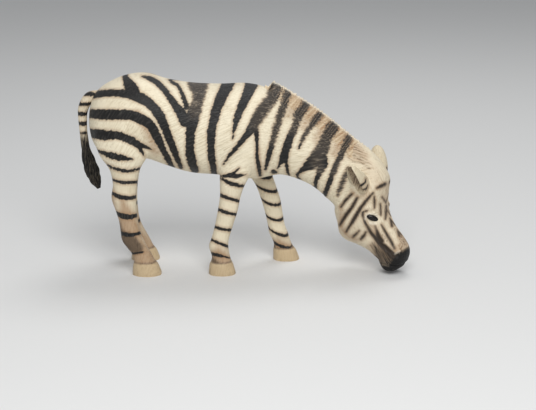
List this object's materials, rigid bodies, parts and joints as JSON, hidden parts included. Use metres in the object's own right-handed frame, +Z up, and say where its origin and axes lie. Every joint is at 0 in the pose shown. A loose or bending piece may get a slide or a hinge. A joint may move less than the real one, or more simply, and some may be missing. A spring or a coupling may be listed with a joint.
{
  "type": "toy zebra figure",
  "caption": "Moulded and painted zebra figure, grazing with its head turned to one side: hollow trunk shells with pegged legs, head, ears, mane and tail; stands on flat hooves",
  "frame": {"origin": "on the ground plane under the centre of the figure's bounding box; the hoof soles lie on z = 0", "axes": "+X from tail to head along the trunk, +Y to the figure's left, +Z up"},
  "size_m": [0.1536, 0.0418, 0.0921],
  "materials": {
    "striped_hide": "cream PVC with engraved hair, painted with near-black stripes, satin-matt",
    "face": "cream PVC with fine brown-black face stripes, gloss black eyes and a dark muzzle",
    "ear": "cream PVC, brown inside, with black marks",
    "mane": "PVC with deep upright locks, painted tan and black in blocks",
    "banded_leg": "cream PVC with narrow dark bands, brown fetlocks and tan hooves",
    "tail": "PVC with cream and dark bands above a dark brown tuft"
  },
  "bodies": {
    "root": {"right_trunk_shell": "striped_hide", "left_trunk_shell": "striped_hide", "head": "face", "right_ear": "ear", "left_ear": "ear", "mane": "mane", "right_fore_leg": "banded_leg", "left_fore_leg": "banded_leg", "right_hind_leg": "banded_leg", "left_hind_leg": "banded_leg", "tail": "tail"}
  },
  "joints": []
}
